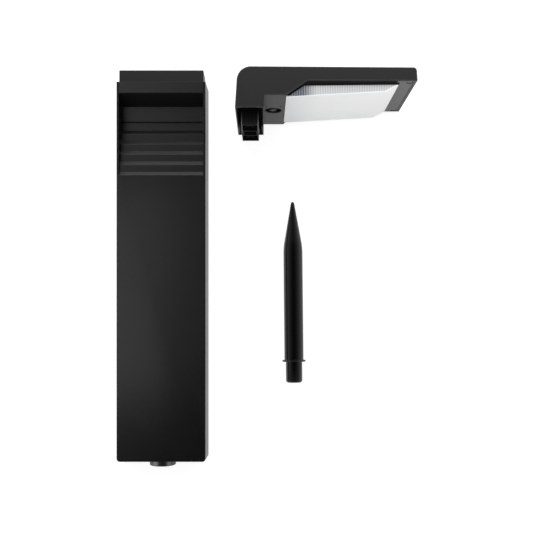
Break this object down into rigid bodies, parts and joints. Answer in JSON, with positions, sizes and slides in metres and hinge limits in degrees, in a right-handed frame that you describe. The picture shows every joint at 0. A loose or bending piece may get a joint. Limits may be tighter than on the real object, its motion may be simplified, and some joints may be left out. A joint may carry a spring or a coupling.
{
  "type": "solar spike light",
  "caption": "Knocked-down solar garden light: flat column with a louvred niche, L-shaped lamp head with ribbed diffuser and push button, and a round ground spike.",
  "frame": {"origin": "on the table, under the middle of the layout", "axes": "+Y up the column from its foot to its neck, +X along the head's arm from leg to tip, +Z away from the table"},
  "size_m": [0.259, 0.3574, 0.08],
  "materials": {
    "column_plastic": "fine matte mould texture",
    "head_plastic": "fine matte mould texture",
    "spike_plastic": "smooth satin",
    "diffuser_plastic": "milky translucent",
    "button_rubber": "matte",
    "seal_rubber": "matte",
    "screw_steel": "dark zinc plate",
    "contact_steel": "nickel plated",
    "board_laminate": "white solder mask",
    "led_plastic": "phosphor dome",
    "solar_silicon": "dark blue",
    "panel_glass": "clear",
    "battery_sleeve": "plain sleeve",
    "switch_plastic": "matte"
  },
  "bodies": {
    "post": {"post_shell": "column_plastic", "rear_cover": "column_plastic", "cover_screws": "screw_steel", "louvre_panel": "column_plastic", "neck_collar": "column_plastic", "spike_socket": "spike_plastic"},
    "head": {"head_housing": "head_plastic", "lamp_frame": "head_plastic", "frame_screws": "screw_steel", "diffuser": "diffuser_plastic", "led_board": "board_laminate", "leds": "led_plastic", "panel_gasket": "seal_rubber", "solar_backing": "board_laminate", "solar_cells": "solar_silicon", "solar_glass": "panel_glass", "battery_cell": "battery_sleeve", "battery_holder": "head_plastic", "contact_positive": "contact_steel", "contact_negative": "contact_steel", "button_seal": "seal_rubber", "push_switch": "switch_plastic", "control_board": "board_laminate", "board_screws": "screw_steel", "board_components": "switch_plastic", "neck_plug": "head_plastic", "plug_screws": "screw_steel"},
    "button": {"button_cap": "button_rubber", "switch_plunger": "switch_plastic"},
    "spike": {"ground_spike": "spike_plastic"}
  },
  "joints": [
    {"name": "head_lift", "type": "slide", "parent": "post", "child": "head", "axis": [0, 0, 1], "range_m": [0, 0.1]},
    {"name": "spike_lift", "type": "slide", "parent": "post", "child": "spike", "axis": [0, 0, 1], "range_m": [0, 0.1]},
    {"name": "button_press", "type": "slide", "parent": "head", "child": "button", "axis": [0, 1, 0], "range_m": [0, 0.0015], "stiffness_N_per_m": 300}
  ]
}
